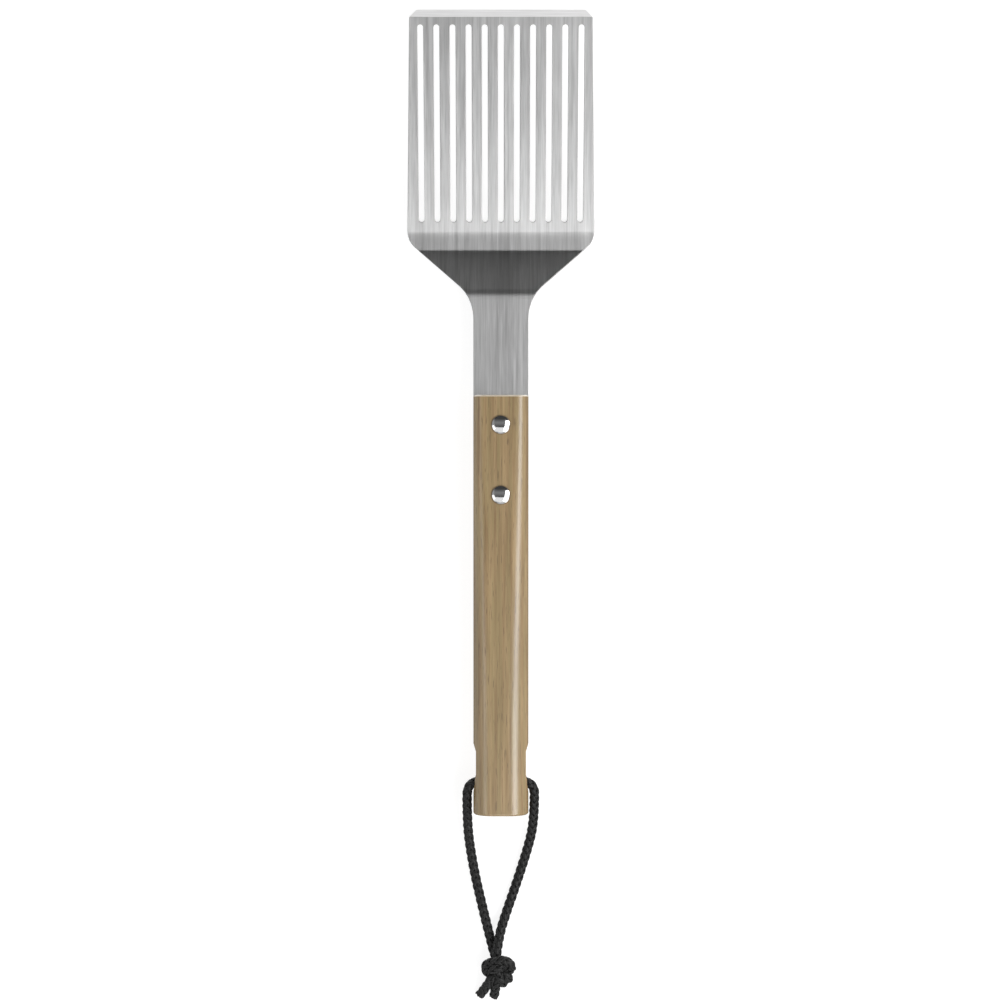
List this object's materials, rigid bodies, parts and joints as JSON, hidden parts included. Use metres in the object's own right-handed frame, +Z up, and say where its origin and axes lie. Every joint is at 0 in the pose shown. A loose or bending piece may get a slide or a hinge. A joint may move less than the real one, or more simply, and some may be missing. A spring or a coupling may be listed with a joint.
{
  "type": "grill spatula",
  "caption": "Grill spatula with a slotted cranked stainless blade, a riveted wooden handle and a knotted cord loop to hang it by.",
  "frame": {"origin": "on the table under the middle of the rigid tool, half-way from the blade's front edge to the butt, with the tool lying food side up", "axes": "+Z up from the table, +Y along the tool towards the blade's front edge, +X to the right with the blade ahead"},
  "size_m": [0.103, 0.5391, 0.0281],
  "materials": {
    "sheet_steel": "brushed along the tool",
    "rivet_steel": "polished",
    "handle_wood": "clear satin lacquer",
    "braided_cord": "matt braided polyester"
  },
  "bodies": {
    "tool": {"blade_and_tang": "sheet_steel", "handle": "handle_wood", "front_rivet_top": "rivet_steel", "front_rivet_bottom": "rivet_steel", "rear_rivet_top": "rivet_steel", "rear_rivet_bottom": "rivet_steel"},
    "lanyard": {"lanyard_cord": "braided_cord", "lanyard_knot": "braided_cord", "left_tail": "braided_cord", "right_tail": "braided_cord"}
  },
  "joints": [
    {"name": "lanyard_swing", "type": "hinge", "parent": "tool", "child": "lanyard", "pos_m": [0, -0.19975, 0.0132], "axis": [-1, 0, 0], "range_deg": [-115, 135]}
  ]
}
